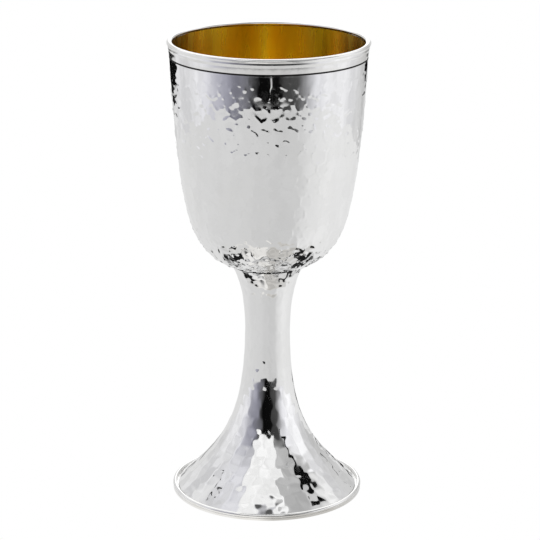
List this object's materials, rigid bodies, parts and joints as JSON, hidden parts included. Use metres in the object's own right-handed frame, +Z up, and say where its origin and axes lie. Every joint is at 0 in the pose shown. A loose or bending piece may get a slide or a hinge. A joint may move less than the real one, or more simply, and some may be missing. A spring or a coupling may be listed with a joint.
{
  "type": "kiddush cup",
  "caption": "Tall hammered silver goblet with a deep gilt bowl, a moulded band round the lip and a hollow trumpet foot on a beaded wire.",
  "frame": {"origin": "on the surface the cup stands on, on the cup's axis", "axes": "+Z up along the axis; the cup is turned, so X and Y are alike, and the picture looks along +Y"},
  "size_m": [0.0644, 0.0644, 0.15],
  "materials": {
    "hammered_silver": "sterling silver, planished all over with a hammer and mirror polished; the inside of the bowl is gilt",
    "polished_silver": "plain sterling silver, mirror polished"
  },
  "bodies": {
    "root": {"bowl": "hammered_silver", "rim_band": "polished_silver", "stem_and_foot": "hammered_silver", "foot_wire": "polished_silver"}
  },
  "joints": []
}
